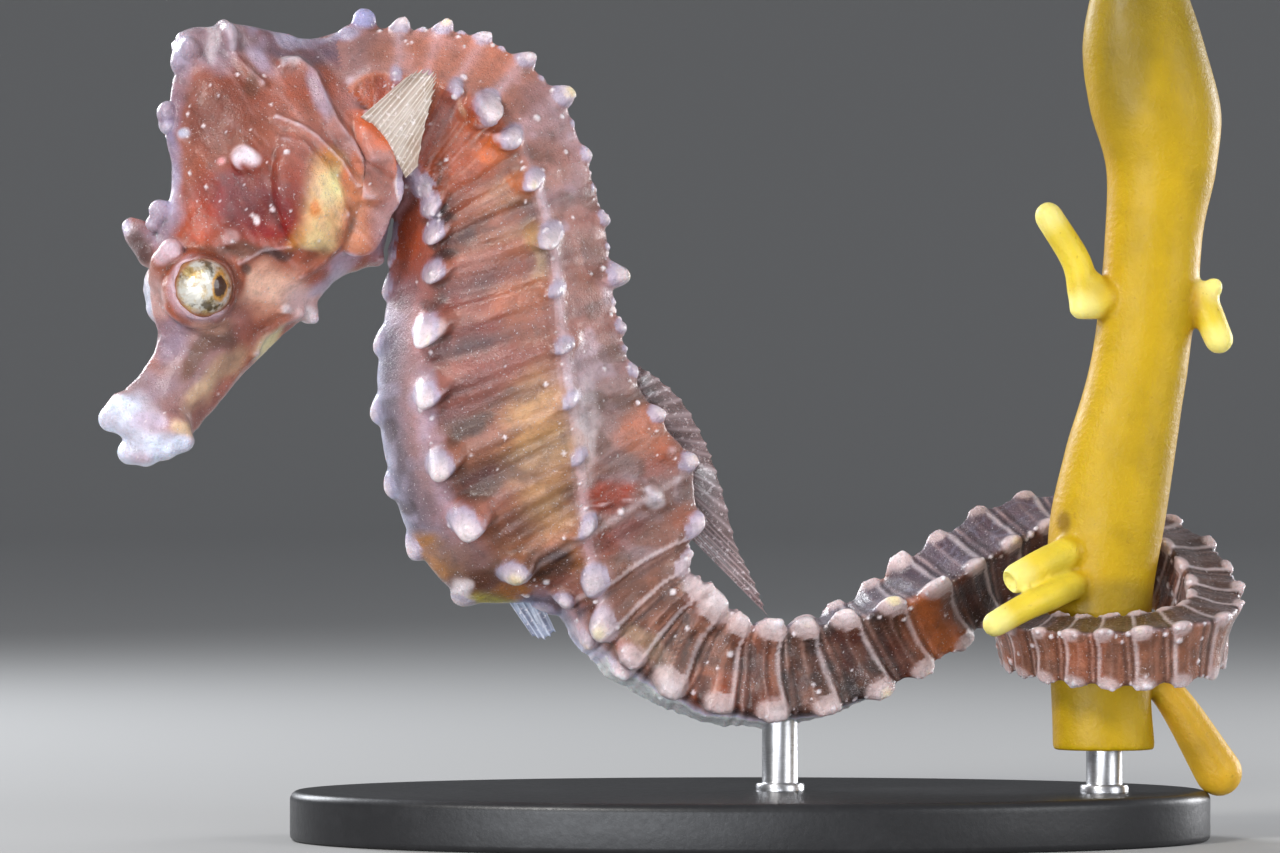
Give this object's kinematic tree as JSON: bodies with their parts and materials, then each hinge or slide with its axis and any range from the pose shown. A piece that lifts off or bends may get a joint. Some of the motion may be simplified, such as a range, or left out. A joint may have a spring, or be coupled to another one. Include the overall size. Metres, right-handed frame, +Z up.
{
  "type": "short-snouted seahorse model on a display stand",
  "caption": "Life-size seahorse with its tail wrapped round a cut length of seaweed stem, held on a plain oval display stand.",
  "frame": {"origin": "centre of the underside of the stand's base", "axes": "+Z up, -X the way the animal faces, -Y the animal's left, the side that the picture shows"},
  "size_m": [0.0572, 0.025, 0.043],
  "materials": {
    "skin": "moist skin, reddish brown with pale tubercles",
    "eye": "clear and wet over a gold iris",
    "fin": "thin translucent membrane on rays",
    "seaweed": "smooth, slightly slippery, mustard yellow",
    "base": "satin black",
    "rod": "fine brushed steel"
  },
  "bodies": {
    "root": {"head": "skin", "snout": "skin", "coronet": "skin", "neck": "skin", "trunk": "skin", "tail_base": "skin", "tail_middle": "skin", "tail_behind_stem": "skin", "tail_right_turn": "skin", "tail_front_turn": "skin", "tail_tip": "skin", "eye_left": "eye", "eye_right": "eye", "pectoral_fin_left": "fin", "pectoral_fin_right": "fin", "dorsal_fin": "fin", "anal_fin": "fin", "perch_stem": "seaweed", "stand_base": "base", "stand_rod_perch": "rod", "stand_rod_tail": "rod"}
  },
  "joints": []
}
